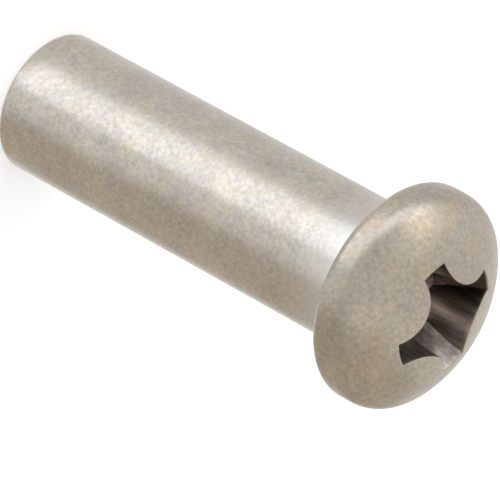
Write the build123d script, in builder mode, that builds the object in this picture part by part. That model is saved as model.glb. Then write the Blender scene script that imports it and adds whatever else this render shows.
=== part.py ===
from build123d import *
import os
from math import atan2, cos, degrees, hypot, radians, sin, sqrt, tan

# Barrel nut: the female half of a binding barrel screw, turned from one bar and cold-headed.
# Origin at the centre of the open end face, +Z along the barrel towards the domed head.
# Lengths are in millimetres, angles in degrees.

# Barrel
shank_diameter = 6.35
shank_length = 20.0
end_edge_break = 0.10

# Domed head
head_diameter = 9.84
head_height = 3.58
rim_wall_top = 1.06          # height above the underside where the rounded shoulder starts
shoulder_radius = 1.11       # between the rim and the dome
under_edge_radius = 0.48     # lower edge of the rim
neck_fillet = 0.18           # between the barrel and the underside of the head

# Tapped blind bore, left at the minor diameter of a #10-24 thread
bore_diameter = 3.80
bore_depth = 16.0
drill_point_angle = 118.0
bore_mouth_diameter = 4.95
bore_mouth_angle = 90.0

# Cross recess in the dome, its first wing along +X
recess_depth = 3.30
recess_mouth_radius = 2.70   # axis to the end of a wing, at the dome
wing_width = 1.23            # across the end of a wing, at the dome
web_radius = 1.58            # axis to the nearest point of a lobe between two wings, at the dome
wing_ramp_angle = 26.5       # end of a wing against the axis
lobe_lean_angle = 5.75       # lobe wall against the axis
recess_bottom_angle = 138.0
recess_edge_break = 0.06
wings = 4


def dome_radius() -> float:
    """Radius of the dome that meets the shoulder smoothly and reaches the head's height."""
    shoulder_centre_r = head_diameter / 2 - shoulder_radius
    rise = head_height - rim_wall_top
    return (shoulder_centre_r**2 + rise**2 - shoulder_radius**2) / (2 * (rise - shoulder_radius))


def dome_drop(distance: float) -> float:
    """How far the dome lies below its crown at a distance from the axis."""
    radius = dome_radius()
    return radius - sqrt(radius**2 - distance**2)


# Derived values
shank_radius = shank_diameter / 2
head_radius = head_diameter / 2
crown_z = shank_length + head_height
dome_centre = (0.0, crown_z - dome_radius())
shoulder_centre = (head_radius - shoulder_radius, shank_length + rim_wall_top)
shoulder_turn = degrees(
    atan2(shoulder_centre[1] - dome_centre[1], shoulder_centre[0] - dome_centre[0])
)

# The turned blank: barrel and head in one revolved profile
with BuildPart() as barrel_nut:
    with BuildSketch(Plane.XZ) as blank_profile:
        with BuildLine():
            Polyline(
                (0, 0),
                (shank_radius, 0),
                (shank_radius, shank_length),
                (head_radius - under_edge_radius, shank_length),
            )
            RadiusArc(
                (head_radius - under_edge_radius, shank_length),
                (head_radius, shank_length + under_edge_radius),
                -under_edge_radius,
            )
            Line((head_radius, shank_length + under_edge_radius), (head_radius, shoulder_centre[1]))
            CenterArc(shoulder_centre, shoulder_radius, 0, shoulder_turn)
            CenterArc(dome_centre, dome_radius(), shoulder_turn, 90 - shoulder_turn)
            Line((0, crown_z), (0, 0))
        make_face()
    revolve(axis=Axis.Z)

    end_rim = barrel_nut.edges().filter_by(GeomType.CIRCLE).group_by(Axis.Z)[0]
    chamfer(end_rim, length=end_edge_break)
    neck_edge = barrel_nut.edges().filter_by(
        lambda edge: edge.geom_type == GeomType.CIRCLE
        and abs(edge.radius - shank_radius) < neck_fillet / 10
        and abs(edge.center().Z - shank_length) < neck_fillet / 10
    )
    fillet(neck_edge, radius=neck_fillet)

# Blind bore: countersunk mouth, tapping-drill wall and the cone of the drill's point
bore_radius = bore_diameter / 2
mouth_radius = bore_mouth_diameter / 2
mouth_depth = (mouth_radius - bore_radius) / tan(radians(bore_mouth_angle / 2))
drill_point_height = bore_radius / tan(radians(drill_point_angle / 2))
with BuildPart() as bore_tool:
    with BuildSketch(Plane.XZ) as bore_profile:
        with BuildLine():
            Polyline(
                (0, 0),
                (mouth_radius, 0),
                (bore_radius, mouth_depth),
                (bore_radius, bore_depth),
                (0, bore_depth + drill_point_height),
                (0, 0),
            )
        make_face()
    revolve(axis=Axis.Z)

# Cross recess: the cone swept by the wing ends, less the four lobes that stand between the wings
ramp_slope = tan(radians(wing_ramp_angle))
tool_top_z = crown_z + head_height
wing_end_z = crown_z - dome_drop(recess_mouth_radius)
recess_floor_z = crown_z - recess_depth
bottom_slope = 1 / tan(radians(recess_bottom_angle / 2))
corner_z = (recess_floor_z - bottom_slope * (wing_end_z * ramp_slope - recess_mouth_radius)) / (
    1 - bottom_slope * ramp_slope
)
corner_radius = recess_mouth_radius + (corner_z - wing_end_z) * ramp_slope
top_radius = recess_mouth_radius + (tool_top_z - wing_end_z) * ramp_slope

# A lobe passes through both wing-end corners and touches the web circle on the diagonal
wing_corner_along = (recess_mouth_radius + wing_width / 2) / sqrt(2)
wing_corner_across = (recess_mouth_radius - wing_width / 2) / sqrt(2)
lobe_rise = wing_corner_along - web_radius
lobe_radius = (lobe_rise**2 + wing_corner_across**2) / (2 * lobe_rise)
lobe_axis_radius = web_radius + lobe_radius

with BuildPart() as recess_tool:
    with BuildSketch(Plane.XZ) as recess_profile:
        with BuildLine():
            Polyline(
                (0, recess_floor_z),
                (corner_radius, corner_z),
                (top_radius, tool_top_z),
                (0, tool_top_z),
                (0, recess_floor_z),
            )
        make_face()
    revolve(axis=Axis.Z)

    for quarter in range(wings):
        turn = radians((quarter + 0.5) * 360 / wings)
        outward = Vector(cos(turn), sin(turn), 0)
        lean = radians(lobe_lean_angle)
        lobe_plane = Plane(
            origin=outward * lobe_axis_radius + Vector(0, 0, wing_end_z),
            x_dir=Vector(-sin(turn), cos(turn), 0),
            z_dir=outward * sin(lean) + Vector(0, 0, cos(lean)),
        )
        with BuildSketch(lobe_plane) as lobe_section:
            Circle(lobe_radius)
        extrude(amount=2 * head_height, both=True, mode=Mode.SUBTRACT)



def is_mouth_edge(edge: Edge) -> bool:
    """Whether an edge lies on the dome, round the mouth of the recess."""
    middle = edge.position_at(0.5)
    above = (middle - Vector(0, 0, dome_centre[1])).length - dome_radius()
    outside = hypot(middle.X, middle.Y) - recess_mouth_radius
    return abs(above) < recess_edge_break / 10 and outside < recess_edge_break / 10


with barrel_nut:
    add(bore_tool.part, mode=Mode.SUBTRACT)
    dome_edges = barrel_nut.edges()
    add(recess_tool.part, mode=Mode.SUBTRACT)
    mouth_edges = (barrel_nut.edges() - dome_edges).filter_by(is_mouth_edge)
    chamfer(mouth_edges, length=recess_edge_break)

barrel_nut.part.label = "barrel_nut"

os.makedirs("parts", exist_ok=True)
export_step(barrel_nut.part, "parts/barrel_nut.step")
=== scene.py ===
"""Barrel nut of a binding screw: tumbled steel, cross recess in an oval head, tapped blind bore."""
import logging
from dataclasses import dataclass, field
from enum import Enum
from math import acos, atan2, cos, hypot, pi, radians, sin, sqrt, tan

import bmesh
import bpy
from mathutils import Matrix, Vector


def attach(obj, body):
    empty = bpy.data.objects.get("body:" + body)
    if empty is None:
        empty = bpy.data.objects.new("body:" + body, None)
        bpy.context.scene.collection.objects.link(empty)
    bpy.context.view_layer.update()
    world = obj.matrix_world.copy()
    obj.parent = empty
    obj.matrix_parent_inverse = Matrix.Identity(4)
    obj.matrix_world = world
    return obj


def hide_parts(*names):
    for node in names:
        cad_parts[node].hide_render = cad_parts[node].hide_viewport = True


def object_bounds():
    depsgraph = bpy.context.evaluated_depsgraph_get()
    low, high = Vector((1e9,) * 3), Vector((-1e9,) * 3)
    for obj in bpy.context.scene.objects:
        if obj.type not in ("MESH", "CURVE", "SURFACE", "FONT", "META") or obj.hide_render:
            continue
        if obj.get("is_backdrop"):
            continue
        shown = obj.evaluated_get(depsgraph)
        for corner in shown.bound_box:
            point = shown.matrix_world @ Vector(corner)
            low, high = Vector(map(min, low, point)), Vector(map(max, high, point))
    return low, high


MM = 0.001
LOG = logging.getLogger("barrel_nut")
Wire = bpy.types.NodeSocket
Triple = tuple[float, float, float]

# The Mix node's sockets share their names between data types, so they are found by place.
MIX_FACTOR = 0
MIX_FLOATS = (2, 3)
MIX_COLOURS = (6, 7)
MIX_FLOAT_OUT = 0
MIX_COLOUR_OUT = 2

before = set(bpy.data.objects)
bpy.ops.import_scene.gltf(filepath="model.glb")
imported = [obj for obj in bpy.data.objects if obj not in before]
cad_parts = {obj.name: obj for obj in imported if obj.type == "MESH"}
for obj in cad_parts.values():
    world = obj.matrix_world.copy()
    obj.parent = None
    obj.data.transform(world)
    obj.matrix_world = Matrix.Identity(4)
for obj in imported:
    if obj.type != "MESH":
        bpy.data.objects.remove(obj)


class Socket(Enum):
    """Kinds of input that the thread's node tree offers."""

    COUNT = "NodeSocketInt"
    LENGTH = "NodeSocketFloat"
    SURFACE = "NodeSocketMaterial"


class Tone(Enum):
    """Linear colours of the steel, and of the films and stains that multiply it."""

    PLAIN = (1.0, 1.0, 1.0)
    DARK = (0.355, 0.319, 0.270)
    MIDDLE = (0.440, 0.401, 0.346)
    LIGHT = (0.520, 0.478, 0.420)
    VIOLET = (0.94, 0.945, 0.995)
    BROWN = (1.055, 0.99, 0.93)
    OLIVE = (0.985, 1.01, 0.975)
    ROSE = (1.015, 0.99, 1.005)
    DULL = (0.93, 0.93, 0.94)
    BRIGHT = (1.06, 1.06, 1.05)
    # Painted shade that dims the lamp's highlight on the head's shoulder.
    SHOULDER_SHADE = (0.885, 0.865, 0.830)
    DOME = (0.965, 0.942, 0.895)
    # Painted sheen below the neck: a plain colour, lighter and cooler than the steel.
    NECK_SHEEN = (0.545, 0.533, 0.512)
    PUNCHED_DEEP = (0.247, 0.21775, 0.195)
    PUNCHED = (0.380, 0.335, 0.300)
    PUNCHED_PALE = (0.551, 0.48575, 0.435)
    # Painted light and shade across the recess: slight painted shade at the far lit edge, strong painted
    # light, then deep painted shade on the dark side.
    SIDE_EDGE_SHADE = (0.95, 0.96, 1.00)
    SIDE_LIGHT = (1.80, 1.82, 1.90)
    SIDE_SHADE = (0.38, 0.32, 0.28)


Ramp = tuple[tuple[float, Tone], ...]


# ---------------------------------------------------------------- finishes


@dataclass(frozen=True)
class Mottle:
    """A noise pattern with its tones, moved aside where it would fall together with another."""

    grain: float
    detail: float
    roughness: float
    distortion: float = 0.0
    aside: float = 0.0
    tones: Ramp = ()


class ShaderSheet:
    """A material's node tree, with short calls for the nodes that the finishes use."""

    def __init__(self, name: str) -> None:
        """Starts an empty material.

        Args:
            name: the material's name.
        """
        self.material = bpy.data.materials.new(name)
        self.material.use_nodes = True
        self.tree = self.material.node_tree
        self.tree.nodes.clear()

    def node(self, kind: str, **settings: object) -> bpy.types.Node:
        """Adds a node.

        Args:
            kind: the node's type name.
            settings: properties to set on it.

        Returns:
            The new node.
        """
        made = self.tree.nodes.new(kind)
        for key, value in settings.items():
            setattr(made, key, value)
        return made

    def link(self, source: Wire, target: Wire) -> None:
        """Joins an output to an input."""
        self.tree.links.new(source, target)

    def noise(self, mottle: Mottle, place: Wire) -> Wire:
        """Adds a noise pattern.

        Args:
            mottle: the pattern's settings.
            place: the coordinates it reads.

        Returns:
            Its value, from 0 to 1.
        """
        if mottle.aside:
            place = self.vector("ADD", place, (mottle.aside, mottle.aside, 0.0))["Vector"]
        made = self.node("ShaderNodeTexNoise")
        made.inputs["Scale"].default_value = 1.0 / mottle.grain
        made.inputs["Detail"].default_value = mottle.detail
        made.inputs["Roughness"].default_value = mottle.roughness
        made.inputs["Distortion"].default_value = mottle.distortion
        self.link(place, made.inputs["Vector"])
        return made.outputs["Fac"]

    def mottled(self, mottle: Mottle, place: Wire) -> Wire:
        """Adds a noise pattern in its tones."""
        return self.ramp(self.noise(mottle, place), mottle.tones)

    def ramp(self, value: Wire, stops: Ramp) -> Wire:
        """Turns a value into a colour.

        Args:
            value: the value read.
            stops: pairs of a position and a tone.

        Returns:
            The colour.
        """
        made = self.node("ShaderNodeValToRGB")
        elements = made.color_ramp.elements
        for index, (position, tone) in enumerate(stops):
            element = elements[index] if index < 2 else elements.new(position)
            element.position = position
            element.color = (*tone.value, 1.0)
        self.link(value, made.inputs["Fac"])
        return made.outputs["Color"]

    def multiply(self, first: Wire, second: Wire) -> Wire:
        """Multiplies two colours.

        Args:
            first: a colour.
            second: the colour that it is multiplied by.

        Returns:
            The product.
        """
        made = self.node("ShaderNodeMix", data_type="RGBA", blend_type="MULTIPLY")
        made.inputs[MIX_FACTOR].default_value = 1.0
        self.link(first, made.inputs[MIX_COLOURS[0]])
        self.link(second, made.inputs[MIX_COLOURS[1]])
        return made.outputs[MIX_COLOUR_OUT]

    def mask(self, amount: Wire, first: Wire, second: Wire | Tone) -> Wire:
        """Changes from one colour to another where a mask says.

        Args:
            amount: the mask.
            first: the colour where it is nought.
            second: the colour or tone where it is one.

        Returns:
            The colour.
        """
        made = self.node("ShaderNodeMix", data_type="RGBA", blend_type="MIX")
        self.link(amount, made.inputs[MIX_FACTOR])
        self.link(first, made.inputs[MIX_COLOURS[0]])
        if isinstance(second, Tone):
            made.inputs[MIX_COLOURS[1]].default_value = (*second.value, 1.0)
        else:
            self.link(second, made.inputs[MIX_COLOURS[1]])
        return made.outputs[MIX_COLOUR_OUT]

    def between(self, amount: Wire, first: Wire, second: float) -> Wire:
        """Changes from one value to a fixed one where a mask says.

        Args:
            amount: the mask.
            first: the value where it is nought.
            second: the value where it is one.

        Returns:
            The value.
        """
        made = self.node("ShaderNodeMix", data_type="FLOAT")
        self.link(amount, made.inputs[MIX_FACTOR])
        self.link(first, made.inputs[MIX_FLOATS[0]])
        made.inputs[MIX_FLOATS[1]].default_value = second
        return made.outputs[MIX_FLOAT_OUT]

    def calc(self, operation: str, first: Wire, second: Wire) -> Wire:
        """Combines two values.

        Args:
            operation: the Math node's operation.
            first: its first value.
            second: its second value.

        Returns:
            The result.
        """
        made = self.node("ShaderNodeMath", operation=operation)
        self.link(first, made.inputs[0])
        self.link(second, made.inputs[1])
        return made.outputs[0]

    def vector(self, operation: str, first: Wire,
               second: Triple = (0.0, 0.0, 0.0)) -> bpy.types.NodeOutputs:
        """Combines a vector with a fixed one.

        Args:
            operation: the Vector Math node's operation.
            first: its first vector.
            second: its second vector, where it takes one.

        Returns:
            The node's outputs, by name.
        """
        made = self.node("ShaderNodeVectorMath", operation=operation)
        made.inputs[1].default_value = second
        self.link(first, made.inputs[0])
        return made.outputs

    def height(self, place: Wire) -> Wire:
        """Reads the height from the coordinates.

        Args:
            place: the coordinates.

        Returns:
            The height.
        """
        split = self.node("ShaderNodeSeparateXYZ")
        self.link(place, split.inputs[0])
        return split.outputs["Z"]

    def span(self, value: Wire, low: float, high: float, start: float = 0.0, end: float = 1.0) -> Wire:
        """Maps a value from start..end onto low..high, clamped.

        Args:
            value: the value read.
            low: result at the start.
            high: result at the end.
            start: value that gives low.
            end: value that gives high.

        Returns:
            The mapped value.
        """
        made = self.node("ShaderNodeMapRange", clamp=True)
        self.link(value, made.inputs["Value"])
        for name, number in (("From Min", start), ("From Max", end), ("To Min", low), ("To Max", high)):
            made.inputs[name].default_value = number
        return made.outputs["Result"]

    def matt(self, colour: Triple) -> Wire:
        """Adds a matt surface of one colour.

        Args:
            colour: its linear colour.

        Returns:
            The surface.
        """
        made = self.node("ShaderNodeBsdfDiffuse")
        made.inputs["Color"].default_value = (*colour, 1.0)
        return made.outputs["BSDF"]

    def finish(self, surface: Wire) -> bpy.types.Material:
        """Ends the tree in a surface and gives the material."""
        self.link(surface, self.node("ShaderNodeOutputMaterial").inputs["Surface"])
        return self.material


@dataclass(frozen=True)
class TumbledSteel:
    """Satin stainless steel from a tumbling barrel, faintly stained, darker inside the punched recess,
    with painted light and shade across the recess, painted shade on the head's shoulder and a painted
    sheen below the neck.
    """

    crown: float
    neck: float
    dome_radius: float
    recess_depth: float
    recess_reach: float
    name: str = "tumbled_steel"
    specks: Mottle = Mottle(0.20 * MM, detail=4.0, roughness=0.66, distortion=0.3, tones=(
        (0.28, Tone.DARK), (0.50, Tone.MIDDLE), (0.72, Tone.LIGHT)))
    patches: Mottle = Mottle(0.95 * MM, detail=4.0, roughness=0.55, distortion=0.6, tones=(
        (0.34, Tone.VIOLET), (0.50, Tone.PLAIN), (0.66, Tone.BROWN)))
    stains: Mottle = Mottle(0.45 * MM, detail=3.0, roughness=0.55, distortion=0.4, aside=7.3 * MM, tones=(
        (0.36, Tone.OLIVE), (0.50, Tone.PLAIN), (0.64, Tone.ROSE)))
    clouds: Mottle = Mottle(2.2 * MM, detail=3.0, roughness=0.5, distortion=0.3, aside=3.1 * MM, tones=(
        (0.35, Tone.DULL), (0.65, Tone.BRIGHT)))
    # Up the head: plain, then painted shade over the shoulder, then the dome's warmer, slightly darker
    # tint.
    head: Ramp = ((0.0, Tone.PLAIN), (0.22, Tone.SHOULDER_SHADE), (0.72, Tone.SHOULDER_SHADE), (1.0, Tone.DOME))
    head_reach: float = 2.2 * MM
    # Strength, length and fade of the painted sheen below the neck, which stands in for the head's
    # underside reflected in the barrel.
    neck_sheen: float = 0.85
    neck_sheen_length: float = 3.2 * MM
    neck_sheen_fade: float = 0.3 * MM
    smoothest: float = 0.26
    roughest: float = 0.30
    roughness_span: tuple[float, float] = (0.3, 0.7)
    head_matt: float = 0.07
    head_matt_reach: float = 1.0 * MM
    pits: Mottle = Mottle(0.09 * MM, detail=3.0, roughness=0.6)
    pit_depth: float = 0.0025 * MM
    pit_strength: float = 0.16
    punch_lines: Mottle = Mottle(0.24 * MM, detail=3.0, roughness=0.6, tones=(
        (0.36, Tone.PUNCHED_DEEP), (0.52, Tone.PUNCHED), (0.68, Tone.PUNCHED_PALE)))
    punch_stretch: float = 0.06
    punched_roughness: float = 0.34
    # Painted light and shade across the recess, graded along one direction: darker that way, lighter the
    # other way.
    side_light_and_shade: Ramp = ((0.15, Tone.SIDE_EDGE_SHADE), (0.36, Tone.SIDE_LIGHT), (0.74, Tone.SIDE_SHADE))
    shade_side: Triple = (-0.77, 0.64, 0.0)
    side_reach: float = 2.0 * MM
    margin: float = 0.04 * MM

    def build(self) -> bpy.types.Material:
        """Builds the material.

        Returns:
            The finished material.
        """
        sheet = ShaderSheet(self.name)
        place = sheet.node("ShaderNodeTexCoord").outputs["Object"]
        inside = self.inside_recess(sheet, place)
        speck = sheet.noise(self.specks, place)
        shader = sheet.node("ShaderNodeBsdfPrincipled")
        shader.inputs["Metallic"].default_value = 1.0
        colour = sheet.mask(inside, self.tumbled(sheet, place, speck), self.punched(sheet, place))
        sheet.link(colour, shader.inputs["Base Color"])
        matt = sheet.span(sheet.height(place), 0.0, self.head_matt,
                          self.neck, self.neck + self.head_matt_reach)
        fine = sheet.span(speck, self.roughest, self.smoothest, *self.roughness_span)
        rough = sheet.calc("ADD", fine, matt)
        sheet.link(sheet.between(inside, rough, self.punched_roughness), shader.inputs["Roughness"])
        bump = sheet.node("ShaderNodeBump")
        bump.inputs["Strength"].default_value = self.pit_strength
        bump.inputs["Distance"].default_value = self.pit_depth
        sheet.link(sheet.noise(self.pits, place), bump.inputs["Height"])
        sheet.link(bump.outputs["Normal"], shader.inputs["Normal"])
        return sheet.finish(shader.outputs["BSDF"])

    def tumbled(self, sheet: ShaderSheet, place: Wire, speck: Wire) -> Wire:
        """Colours the outer surface: specks, patches, stains, clouds, the head with painted shade on its
        shoulder, and a painted sheen below the neck.

        Args:
            sheet: the material's tree.
            place: object coordinates.
            speck: value of the fine specks.

        Returns:
            The colour.
        """
        height = sheet.height(place)
        base = sheet.ramp(speck, self.specks.tones)
        for mottle in (self.patches, self.stains, self.clouds):
            base = sheet.multiply(base, sheet.mottled(mottle, place))
        # The head's ramp: painted shade over the shoulder band, then the dome's tint.
        up_head = sheet.span(height, 0.0, 1.0, self.neck, self.neck + self.head_reach)
        base = sheet.multiply(base, sheet.ramp(up_head, self.head))
        # Painted sheen: just below the neck the specks give way to a plain lighter colour, standing in for
        # the head's underside reflected there.
        below = sheet.span(height, 0.0, self.neck_sheen,
                           self.neck - self.neck_sheen_length, self.neck - self.neck_sheen_fade)
        above = sheet.span(height, 1.0, 0.0, self.neck, self.neck + self.neck_sheen_fade)
        return sheet.mask(sheet.calc("MULTIPLY", below, above), base, Tone.NECK_SHEEN)

    def punched(self, sheet: ShaderSheet, place: Wire) -> Wire:
        """Colours the recess: dark, with fine lines left by the punch, painted shade towards one side and
        painted light towards the other.

        Args:
            sheet: the material's tree.
            place: object coordinates.

        Returns:
            The colour.
        """
        drawn_out = sheet.vector("MULTIPLY", place, (1.0, 1.0, self.punch_stretch))["Vector"]
        # Painted shade towards one side of the recess and painted light towards the other, by position
        # alone.
        across = sheet.vector("DOT_PRODUCT", place, self.shade_side)["Value"]
        side_light_and_shade = sheet.ramp(sheet.span(across, 0.0, 1.0, -self.side_reach, self.side_reach), self.side_light_and_shade)
        return sheet.multiply(sheet.mottled(self.punch_lines, drawn_out), side_light_and_shade)

    def inside_recess(self, sheet: ShaderSheet, place: Wire) -> Wire:
        """Tells the recess from the outer surface by its floor, its reach and the dome above it.

        Args:
            sheet: the material's tree.
            place: object coordinates.

        Returns:
            One inside the recess, nought elsewhere.
        """
        floor = self.crown - self.recess_depth
        flat = sheet.vector("MULTIPLY", place, (1.0, 1.0, 0.0))["Vector"]
        reach = sheet.vector("LENGTH", flat)["Value"]
        ball = sheet.vector("DISTANCE", place, (0.0, 0.0, self.crown - self.dome_radius))["Value"]
        above = sheet.span(sheet.height(place), 0.0, 1.0, floor - 5 * self.margin, floor - 4 * self.margin)
        within = sheet.span(reach, 1.0, 0.0, self.recess_reach, self.recess_reach + self.margin)
        under = sheet.span(ball, 1.0, 0.0, self.dome_radius - 3 * self.margin,
                           self.dome_radius - self.margin)
        return sheet.calc("MULTIPLY", sheet.calc("MULTIPLY", above, within), under)


@dataclass(frozen=True)
class StudioWhite:
    """Matt white table: it keeps a soft shadow, and reads as white to the eye and in metal or glass."""

    name: str = "table_white"
    colour: Triple = (0.80, 0.80, 0.80)
    glow: float = 0.30

    def build(self) -> bpy.types.Material:
        """Builds the material.

        Returns:
            The finished material.
        """
        sheet = ShaderSheet(self.name)
        rays = sheet.node("ShaderNodeLightPath").outputs
        mirrored = sheet.calc("MAXIMUM", rays["Is Glossy Ray"], rays["Is Transmission Ray"])
        shown = sheet.calc("MAXIMUM", rays["Is Camera Ray"], mirrored)
        glow = sheet.node("ShaderNodeEmission")
        sheet.link(sheet.span(shown, 0.0, self.glow), glow.inputs["Strength"])
        both = sheet.node("ShaderNodeAddShader")
        sheet.link(sheet.matt(self.colour), both.inputs[0])
        sheet.link(glow.outputs["Emission"], both.inputs[1])
        return sheet.finish(both.outputs["Shader"])


# ---------------------------------------------------------------- the tapped bore


@dataclass
class TappedBore:
    """Wall of the blind bore: countersunk mouth, rounded thread and the plain run behind it."""

    columns: int
    minor_radius: float = 1.90 * MM
    mouth_radius: float = 2.475 * MM
    depth: float = 16.0 * MM
    pitch: float = 25.4 * MM / 24
    groove: float = 0.51 * MM
    threaded: float = 14.6 * MM
    run_out: float = 1.1 * MM
    rows_per_turn: int = 20

    def build(self, steel: bpy.types.Material) -> bpy.types.Mesh:
        """Runs the node tree and gives the wall as a plain mesh.

        Args:
            steel: the finish set on it.

        Returns:
            An open tube, threaded on its inside.
        """
        tree = self.tree()
        carrier = bpy.data.objects.new("bore_wall", bpy.data.meshes.new("bore_wall"))
        bpy.context.scene.collection.objects.link(carrier)
        modifier = carrier.modifiers.new("thread", "NODES")
        modifier.node_group = tree
        values = {
            "Columns": self.columns,
            "Rows": round(self.depth / self.pitch * self.rows_per_turn),
            "Minor radius": self.minor_radius,
            "Mouth radius": self.mouth_radius,
            "Depth": self.depth,
            "Pitch": self.pitch,
            "Groove": self.groove,
            "Threaded": self.threaded,
            "Run-out": self.run_out,
            "Steel": steel,
        }
        sockets = {item.name: item.identifier for item in tree.interface.items_tree
                   if item.in_out == "INPUT"}
        for name, value in values.items():
            modifier[sockets[name]] = value
        graph = bpy.context.evaluated_depsgraph_get()
        mesh = bpy.data.meshes.new_from_object(carrier.evaluated_get(graph))
        carrier.modifiers.remove(modifier)
        bpy.data.objects.remove(carrier)
        return mesh

    def tree(self) -> bpy.types.NodeTree:
        """Builds the tree that winds the thread up a tube.

        Returns:
            The geometry node tree.
        """
        tree = bpy.data.node_groups.new("tapped_bore", "GeometryNodeTree")
        inputs = (("Columns", Socket.COUNT), ("Rows", Socket.COUNT), ("Minor radius", Socket.LENGTH),
                  ("Mouth radius", Socket.LENGTH), ("Depth", Socket.LENGTH), ("Pitch", Socket.LENGTH),
                  ("Groove", Socket.LENGTH), ("Threaded", Socket.LENGTH), ("Run-out", Socket.LENGTH),
                  ("Steel", Socket.SURFACE))
        for name, kind in inputs:
            tree.interface.new_socket(name=name, in_out="INPUT", socket_type=kind.value)
        tree.interface.new_socket(name="Wall", in_out="OUTPUT", socket_type="NodeSocketGeometry")
        given = tree.nodes.new("NodeGroupInput").outputs

        def calc(operation: str, *terms: Wire | float, clamp: bool = False) -> Wire:
            """Adds one sum.

            Args:
                operation: the Math node's operation.
                terms: sockets or numbers.
                clamp: whether the result stays in 0..1.

            Returns:
                The result's socket.
            """
            made = tree.nodes.new("ShaderNodeMath")
            made.operation = operation
            made.use_clamp = clamp
            for index, term in enumerate(terms):
                if isinstance(term, Wire):
                    tree.links.new(term, made.inputs[index])
                else:
                    made.inputs[index].default_value = term
            return made.outputs[0]

        tube = tree.nodes.new("GeometryNodeMeshCylinder")
        tube.fill_type = "NONE"
        for name, source in (("Vertices", "Columns"), ("Side Segments", "Rows"),
                             ("Radius", "Minor radius"), ("Depth", "Depth")):
            tree.links.new(given[source], tube.inputs[name])

        place = tree.nodes.new("ShaderNodeSeparateXYZ")
        tree.links.new(tree.nodes.new("GeometryNodeInputPosition").outputs[0], place.inputs[0])
        height = calc("ADD", place.outputs["Z"], calc("MULTIPLY", given["Depth"], 0.5))
        angle = calc("ARCTAN2", place.outputs["Y"], place.outputs["X"])
        turns = calc("SUBTRACT", calc("DIVIDE", height, given["Pitch"]), calc("DIVIDE", angle, 2 * pi))
        share = calc("FRACT", turns)
        wave = calc("SUBTRACT", 1.0, calc("ABSOLUTE", calc("SUBTRACT", calc("MULTIPLY", share, 2.0), 1.0)))
        flank = calc("MULTIPLY", calc("MULTIPLY", wave, wave),
                     calc("SUBTRACT", 3.0, calc("MULTIPLY", wave, 2.0)))
        cut = calc("MULTIPLY", flank, given["Groove"])
        fade = calc("DIVIDE", calc("SUBTRACT", given["Threaded"], height), given["Run-out"], clamp=True)
        thread = calc("ADD", given["Minor radius"], calc("MULTIPLY", cut, fade))
        radius = calc("MAXIMUM", thread, calc("SUBTRACT", given["Mouth radius"], height))

        point = tree.nodes.new("ShaderNodeCombineXYZ")
        tree.links.new(calc("MULTIPLY", radius, calc("COSINE", angle)), point.inputs["X"])
        tree.links.new(calc("MULTIPLY", radius, calc("SINE", angle)), point.inputs["Y"])
        tree.links.new(height, point.inputs["Z"])
        wind = tree.nodes.new("GeometryNodeSetPosition")
        tree.links.new(tube.outputs["Mesh"], wind.inputs["Geometry"])
        tree.links.new(point.outputs[0], wind.inputs["Position"])
        realize = tree.nodes.new("GeometryNodeRealizeInstances")
        tree.links.new(wind.outputs[0], realize.inputs[0])
        paint = tree.nodes.new("GeometryNodeSetMaterial")
        tree.links.new(realize.outputs[0], paint.inputs["Geometry"])
        tree.links.new(given["Steel"], paint.inputs["Material"])
        tree.links.new(paint.outputs[0], tree.nodes.new("NodeGroupOutput").inputs["Wall"])
        return tree


# ---------------------------------------------------------------- the cross recess


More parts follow.
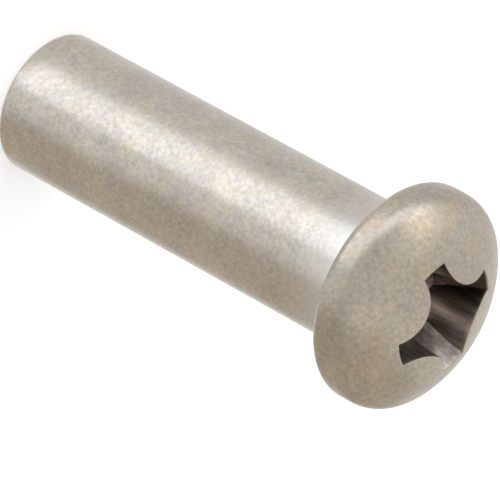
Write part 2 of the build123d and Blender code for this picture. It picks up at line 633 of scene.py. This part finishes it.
@dataclass
class CrossRecess:
    """Four tapered wings on a cone, with a lobe of metal standing between each two."""

    crown: float
    dome_radius: float
    depth: float = 3.30 * MM
    mouth_radius: float = 2.70 * MM
    wing_width: float = 1.23 * MM
    web_radius: float = 1.58 * MM
    ramp: float = radians(26.5)
    lean: float = radians(5.75)
    bottom: float = radians(138.0)
    edge: float = 0.06 * MM
    tip_steps: int = 8
    lobe_steps: int = 28
    wings: int = 4
    search_rounds: int = 12

    def __post_init__(self) -> None:
        """Works out the lobes from the wings and the web."""
        along = (self.mouth_radius + self.wing_width / 2) / sqrt(2)
        across = (self.mouth_radius - self.wing_width / 2) / sqrt(2)
        rise = along - self.web_radius
        self.lobe_radius = (rise**2 + across**2) / (2 * rise)
        self.lobe_axis = self.web_radius + self.lobe_radius
        self.wing_top = self.crown - self.drop(self.mouth_radius)

    @property
    def columns(self) -> int:
        """Points round the recess."""
        return self.wings * (self.tip_steps + self.lobe_steps)

    def drop(self, distance: float) -> float:
        """How far the dome lies below its crown at a distance from the axis."""
        return self.dome_radius - sqrt(self.dome_radius**2 - distance**2)

    def section(self, column: int, height: float) -> tuple[float, float]:
        """A point of the recess wall.

        Args:
            column: which of the points round the recess.
            height: its height.

        Returns:
            Its radius and angle.
        """
        per_wing = self.tip_steps + self.lobe_steps
        quarter, step = divmod(column + self.tip_steps // 2, per_wing)
        cone = self.mouth_radius + (height - self.wing_top) * tan(self.ramp)
        axis = self.lobe_axis + (height - self.wing_top) * tan(self.lean)
        closing = (cone**2 + axis**2 - self.lobe_radius**2) / (2 * cone * axis)
        corner = acos(min(1.0, closing))
        tip = pi / self.wings - corner
        turn = quarter * 2 * pi / self.wings
        if step <= self.tip_steps:
            return cone, turn - tip + 2 * tip * step / self.tip_steps
        share = (step - self.tip_steps) / self.lobe_steps
        start = atan2(cone * sin(corner), cone * cos(corner) - axis)
        sweep = start + (2 * pi - 2 * start) * share
        x = axis + self.lobe_radius * cos(sweep)
        y = self.lobe_radius * sin(sweep)
        return hypot(x, y), turn + pi / self.wings - atan2(y, x)

    def on_dome(self, column: int) -> float:
        """Finds where a column of the wall meets the dome.

        Args:
            column: which of the points round the recess.

        Returns:
            The height.
        """
        height = self.crown
        for _ in range(self.search_rounds):
            height = self.crown - self.drop(self.section(column, height)[0])
        return height

    def on_floor(self, column: int) -> float:
        """Finds where a column of the wall meets the conical floor.

        Args:
            column: which of the points round the recess.

        Returns:
            The height.
        """
        height = self.crown - self.depth
        for _ in range(self.search_rounds):
            height = self.crown - self.depth + self.section(column, height)[0] / tan(self.bottom / 2)
        return height

    def point(self, column: int, height: float) -> Vector:
        """A point of the wall, in metres."""
        radius, angle = self.section(column, height)
        return Vector((radius * cos(angle), radius * sin(angle), height))

    def rings(self, levels: int = 14, floor_rings: int = 6) -> list[list[Vector]]:
        """Rings of points from the middle of the floor up to the dome.

        Args:
            levels: rings up the wall.
            floor_rings: rings on the floor.

        Returns:
            The rings, without the pole.
        """
        count = self.columns
        feet = [self.point(c, self.on_floor(c)) for c in range(count)]
        floor = self.crown - self.depth
        made: list[list[Vector]] = []
        for ring in range(1, floor_rings):
            share = ring / floor_rings
            made.append([Vector((p.x * share, p.y * share, floor + (p.z - floor) * share)) for p in feet])
        tops = [self.on_dome(c) for c in range(count)]
        for level in range(levels + 1):
            share = level / levels
            made.append([
                self.point(c, feet[c].z + (tops[c] - self.edge - feet[c].z) * share)
                for c in range(count)
            ])
        made.extend(self.rounded_edge(tops))
        return made

    def rounded_edge(self, tops: list[float], steps: int = 3) -> list[list[Vector]]:
        """Rings that round the corner between the wall and the dome.

        Args:
            tops: height of the sharp corner at each column.
            steps: rings over the corner.

        Returns:
            The rings, the last of them on the dome.
        """
        count = self.columns
        sharp = [self.point(c, tops[c]) for c in range(count)]
        wall = [self.point(c, tops[c] - self.edge) for c in range(count)]
        made: list[list[Vector]] = []
        outer: list[Vector] = []
        for c in range(count):
            before, after = sharp[c - 1], sharp[(c + 1) % count]
            first = (sharp[c] - before).to_2d()
            second = (after - sharp[c]).to_2d()
            normal = Vector((first.y, -first.x)).normalized() + Vector((second.y, -second.x)).normalized()
            flat = sharp[c].to_2d() + normal * (2 * self.edge / normal.length_squared)
            outer.append(Vector((flat.x, flat.y, self.crown - self.drop(flat.length))))
        for step in range(1, steps + 1):
            share = step / steps
            made.append([
                wall[c] * (1 - share)**2 + sharp[c] * (2 * share * (1 - share)) + outer[c] * share**2
                for c in range(count)
            ])
        return made


# ---------------------------------------------------------------- the turned body


@dataclass
class BarrelNut:
    """The whole nut: recess, domed head, barrel and bore as one closed skin."""

    low: Vector
    high: Vector
    shank_radius: float = 3.175 * MM
    shank_length: float = 20.0 * MM
    head_height: float = 3.58 * MM
    rim_top: float = 1.06 * MM
    shoulder: float = 1.11 * MM
    under_edge: float = 0.48 * MM
    neck_fillet: float = 0.18 * MM
    end_break: float = 0.10 * MM
    drill_angle: float = radians(118.0)
    dome_steps: int = 16
    shoulder_steps: int = 12
    under_steps: int = 8
    neck_steps: int = 6
    shank_steps: int = 24
    end_steps: int = 4
    weld: float = 0.002 * MM
    sharp_from: float = radians(30.0)

    @property
    def head_radius(self) -> float:
        """Radius of the head, which is the widest part."""
        return (self.high.x - self.low.x) / 2

    @property
    def under_head(self) -> float:
        """Height of the head's underside."""
        return self.low.z + self.shank_length

    @property
    def shoulder_centre(self) -> float:
        """Distance of the shoulder's centre from the axis."""
        return self.head_radius - self.shoulder

    @property
    def dome_radius(self) -> float:
        """Radius of the dome, which runs smoothly into the shoulder."""
        rise = self.head_height - self.rim_top
        return ((self.shoulder_centre**2 + rise**2 - self.shoulder**2)
                / (2 * (rise - self.shoulder)))

    @property
    def shoulder_turn(self) -> float:
        """Angle above the level at which the shoulder meets the dome."""
        return atan2(self.rim_top - self.head_height + self.dome_radius, self.shoulder_centre)

    def build(self) -> bpy.types.Object:
        """Builds the skin in its finish.

        Returns:
            The finished piece.
        """
        crown = self.under_head + self.head_height
        recess = CrossRecess(crown=crown, dome_radius=self.dome_radius)
        bore = TappedBore(columns=recess.columns)
        steel = TumbledSteel(crown=crown, neck=self.under_head, dome_radius=self.dome_radius,
                             recess_depth=recess.depth, recess_reach=recess.mouth_radius).build()
        rings = recess.rings()
        rings += self.dome_rings(recess, rings[-1])
        rings += [self.circle(r, z, recess.columns) for r, z in self.outline(bore.mouth_radius)]
        mesh = self.skin(rings, Vector((0, 0, crown - recess.depth)), bore, steel)
        piece = bpy.data.objects.new("barrel_nut_skin", mesh)
        bpy.context.scene.collection.objects.link(piece)
        return piece

    @staticmethod
    def circle(radius: float, height: float, columns: int) -> list[Vector]:
        """A level ring of points."""
        return [Vector((radius * cos(2 * pi * c / columns), radius * sin(2 * pi * c / columns), height))
                for c in range(columns)]

    def dome_rings(self, recess: CrossRecess, mouth: list[Vector]) -> list[list[Vector]]:
        """Rings on the dome from the recess out to the shoulder.

        Args:
            recess: the recess in the dome.
            mouth: its outermost ring.

        Returns:
            The rings.
        """
        border = self.circle(self.dome_radius * cos(self.shoulder_turn), 0.0, len(mouth))
        made: list[list[Vector]] = []
        for ring in range(1, self.dome_steps + 1):
            row = []
            for inner, outer in zip(mouth, border):
                flat = inner.to_2d().lerp(outer.to_2d(), ring / self.dome_steps)
                row.append(Vector((flat.x, flat.y, recess.crown - recess.drop(flat.length))))
            made.append(row)
        return made

    def outline(self, mouth_radius: float) -> list[tuple[float, float]]:
        """Radius and height of each ring from the shoulder down to the bore's mouth.

        Args:
            mouth_radius: radius of the bore's countersink at the end face.

        Returns:
            The pairs, in order.
        """
        under = self.under_head
        points: list[tuple[float, float]] = []

        def arc(x: float, z: float, radius: float, start: float, end: float, steps: int) -> None:
            """Adds an arc without its first point.

            Args:
                x: its centre's distance from the axis.
                z: its centre's height.
                radius: its radius.
                start: angle it starts from.
                end: angle it ends at.
                steps: points to add.
            """
            for step in range(1, steps + 1):
                turn = start + (end - start) * step / steps
                points.append((x + radius * cos(turn), z + radius * sin(turn)))

        arc(self.shoulder_centre, under + self.rim_top, self.shoulder,
            self.shoulder_turn, 0, self.shoulder_steps)
        points.append((self.head_radius, under + (self.rim_top + self.under_edge) / 2))
        points.append((self.head_radius, under + self.under_edge))
        arc(self.head_radius - self.under_edge, under + self.under_edge, self.under_edge,
            0, -pi / 2, self.under_steps)
        points.append((self.shank_radius + 2 * self.neck_fillet, under))
        points.append((self.shank_radius + self.neck_fillet, under))
        arc(self.shank_radius + self.neck_fillet, under - self.neck_fillet, self.neck_fillet,
            pi / 2, pi, self.neck_steps)
        top, foot = under - self.neck_fillet, self.low.z + self.end_break
        points += [(self.shank_radius, top + (foot - top) * row / self.shank_steps)
                   for row in range(1, self.shank_steps + 1)]
        arc(self.shank_radius - self.end_break, foot, self.end_break, 0, -pi / 2, self.end_steps)
        points.append((mouth_radius, self.low.z))
        return points

    def skin(self, rings: list[list[Vector]], pole: Vector, bore: TappedBore,
             steel: bpy.types.Material) -> bpy.types.Mesh:
        """Joins the rings, the poles and the bore's wall into one closed mesh.

        Args:
            rings: rings from the recess floor round to the bore's mouth.
            pole: middle of the recess floor.
            bore: the bore, whose wall is joined on.
            steel: the finish.

        Returns:
            The mesh.
        """
        made = bmesh.new()
        made.from_mesh(bore.build(steel))
        columns = len(rings[0])
        rows = [[made.verts.new(point) for point in ring] for ring in rings]
        centre = made.verts.new(pole)
        for c in range(columns):
            made.faces.new((centre, rows[0][c], rows[0][(c + 1) % columns]))
        for upper, lower in zip(rows, rows[1:]):
            for c in range(columns):
                after = (c + 1) % columns
                made.faces.new((upper[c], lower[c], lower[after], upper[after]))
        end = [made.verts.new(point) for point in
               self.circle(bore.minor_radius, self.low.z + bore.depth, columns)]
        point = bore.minor_radius / tan(self.drill_angle / 2)
        tip = made.verts.new((0, 0, self.low.z + bore.depth + point))
        for c in range(columns):
            made.faces.new((end[c], end[(c + 1) % columns], tip))
        bmesh.ops.remove_doubles(made, verts=made.verts, dist=self.weld)
        bmesh.ops.recalc_face_normals(made, faces=made.faces)
        open_edges = sum(1 for edge in made.edges if not edge.is_manifold)
        LOG.info("skin: %d faces, %d open edges", len(made.faces), open_edges)
        mesh = bpy.data.meshes.new("barrel_nut_skin")
        made.to_mesh(mesh)
        made.free()
        mesh.materials.clear()
        mesh.materials.append(steel)
        mesh.shade_smooth()
        mesh.set_sharp_from_angle(angle=self.sharp_from)
        return mesh


# ---------------------------------------------------------------- studio


@dataclass(frozen=True)
class Panel:
    """A flat thing that faces the part, its width laid along a given line."""

    name: str
    towards: Vector
    along: Vector
    width: float
    height: float
    distance: float = field(default=0.30, kw_only=True)

    def place(self, centre: Vector) -> Matrix:
        """Placement of the panel.

        Args:
            centre: the point it faces.

        Returns:
            Its matrix, with the width along X and the back of the panel along Z.
        """
        away = Vector(self.towards).normalized()
        across = away.cross(Vector(self.along)).normalized()
        side = across.cross(away)
        return Matrix.Translation(centre + away * self.distance) @ (
            Matrix((side, across, away)).transposed().to_4x4()
        )


@dataclass(frozen=True)
class Softbox(Panel):
    """One soft lamp."""

    radiance: float
    colour: Triple

    def build(self, centre: Vector) -> None:
        """Hangs the lamp.

        Args:
            centre: the point it faces.
        """
        data = bpy.data.lights.new(self.name, "AREA")
        data.shape = "RECTANGLE"
        data.size = self.width
        data.size_y = self.height
        data.color = self.colour
        data.energy = self.radiance * pi * self.width * self.height
        lamp = bpy.data.objects.new(self.name, data)
        lamp.matrix_world = self.place(centre)
        bpy.context.scene.collection.objects.link(lamp)


@dataclass(frozen=True)
class ShadeCard(Panel):
    """Brownish card out of the camera's sight, which gives the steel something darker to show."""

    colour: Triple = (0.72, 0.66, 0.58)

    def build(self, centre: Vector) -> None:
        """Stands the card up.

        Args:
            centre: the point it faces.
        """
        sheet = ShaderSheet(self.name)
        card = board(self.name, self.width, self.height, self.place(centre),
                     sheet.finish(sheet.matt(self.colour)))
        card.visible_camera = False
        card.visible_diffuse = False
        card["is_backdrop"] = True


def board(name: str, width: float, height: float, place: Matrix,
          material: bpy.types.Material) -> bpy.types.Object:
    """Makes a flat rectangle.

    Args:
        name: its name.
        width: its size along its own X.
        height: its size along its own Y.
        place: where it goes.
        material: its finish.

    Returns:
        The new object, linked to the scene.
    """
    corners = ((-0.5, -0.5), (0.5, -0.5), (0.5, 0.5), (-0.5, 0.5))
    mesh = bpy.data.meshes.new(name)
    mesh.from_pydata([place @ Vector((x * width, y * height, 0.0)) for x, y in corners], [],
                     [(0, 1, 2, 3)])
    mesh.materials.append(material)
    made = bpy.data.objects.new(name, mesh)
    bpy.context.scene.collection.objects.link(made)
    return made


def heading(azimuth: float, elevation: float) -> Vector:
    """Unit vector towards an azimuth from +X and an elevation, both in degrees."""
    turn, lift = radians(azimuth), radians(elevation)
    return Vector((cos(lift) * cos(turn), cos(lift) * sin(turn), sin(lift)))


@dataclass
class Studio:
    """Table, lamps, surroundings and camera."""

    low: Vector
    high: Vector
    azimuth: float = -147.43
    elevation: float = 34.90
    roll: float = 118.98
    distance: float = 0.2737
    focal: float = 468.0
    nearest: float = 0.01
    farthest: float = 20.0
    aim: Triple = (1.29 * MM, -0.89 * MM, 12.46 * MM)
    table_size: float = 3.0
    table_gap: float = 0.02 * MM
    daylight: Triple = (0.81, 0.88, 1.0)
    lamplight: Triple = (1.0, 0.93, 0.82)

    def build(self) -> None:
        """Sets the whole studio up."""
        self.table()
        self.surroundings()
        centre = (self.low + self.high) / 2
        for panel in self.panels():
            panel.build(centre)
        self.camera()
        bpy.context.scene.view_settings.view_transform = "Standard"

    def panels(self) -> tuple[Softbox | ShadeCard, ...]:
        """The lamps and the card, laid out as the camera sees them.

        Returns:
            The long softbox over the barrel, a fill on either side, and the card underneath.
        """
        right, up, front = self.axes()
        return (
            Softbox("overhead", up * 0.90 + front * 0.40 - right * 0.10, right,
                    width=0.82, height=0.17, radiance=1.50, colour=self.daylight),
            Softbox("right_fill", right * 0.82 + up * 0.44 + front * 0.37, right,
                    width=0.16, height=0.16, radiance=1.15, colour=self.lamplight),
            Softbox("left_fill", up * 0.25 + front * 0.25 - right * 0.93, front,
                    width=0.14, height=0.16, radiance=0.30, colour=self.daylight),
            ShadeCard("floor_card", right * -0.40 - up * 0.85 - front * 0.20, right,
                      width=0.90, height=0.75),
        )

    def axes(self) -> tuple[Vector, Vector, Vector]:
        """Directions of the rolled camera's view, in the part's frame.

        Returns:
            Right, up and front.
        """
        front = heading(self.azimuth, self.elevation)
        right = Vector((0, 0, 1)).cross(front).normalized()
        up = front.cross(right)
        roll = radians(self.roll)
        return right * cos(roll) + up * sin(roll), up * cos(roll) - right * sin(roll), front

    def table(self) -> None:
        """Lays the white table that the nut stands on."""
        table = board("table", self.table_size, self.table_size,
                      Matrix.Translation((0.0, 0.0, self.low.z - self.table_gap)),
                      StudioWhite().build())
        # The rolled view's lamps hang lower than the table, and the walls are as white as it is.
        table.visible_glossy = False
        table.visible_shadow = False
        table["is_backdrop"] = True

    def surroundings(self) -> None:
        """Hangs plain white walls all round, which the steel shows as the camera does."""
        world = bpy.data.worlds.new("room")
        world.use_nodes = True
        wall = world.node_tree.nodes["Background"]
        wall.inputs["Color"].default_value = (1.0, 1.0, 1.0, 1.0)
        wall.inputs["Strength"].default_value = 1.0
        bpy.context.scene.world = world

    def camera(self) -> None:
        """Places the camera and rolls it, so that the nut lies across the frame."""
        right, up, front = self.axes()
        data = bpy.data.cameras.new("camera")
        data.lens = self.focal
        data.clip_start = self.nearest
        data.clip_end = self.farthest
        camera = bpy.data.objects.new("camera", data)
        camera.matrix_world = Matrix.Translation(Vector(self.aim) + front * self.distance) @ (
            Matrix((right, up, front)).transposed().to_4x4()
        )
        bpy.context.scene.collection.objects.link(camera)
        bpy.context.scene.camera = camera


def main() -> None:
    """Builds the nut and its studio, in order."""
    logging.basicConfig(level=logging.INFO, format="%(name)s: %(message)s")
    cad_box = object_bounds()
    low, high = (Vector(corner) for corner in cad_box)
    nut = BarrelNut(low, high).build()
    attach(nut, "root")
    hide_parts("barrel_nut")
    LOG.info("built %s", nut.name)
    Studio(low, high).build()
    LOG.info("studio ready")


if __name__ == "__main__":
    main()
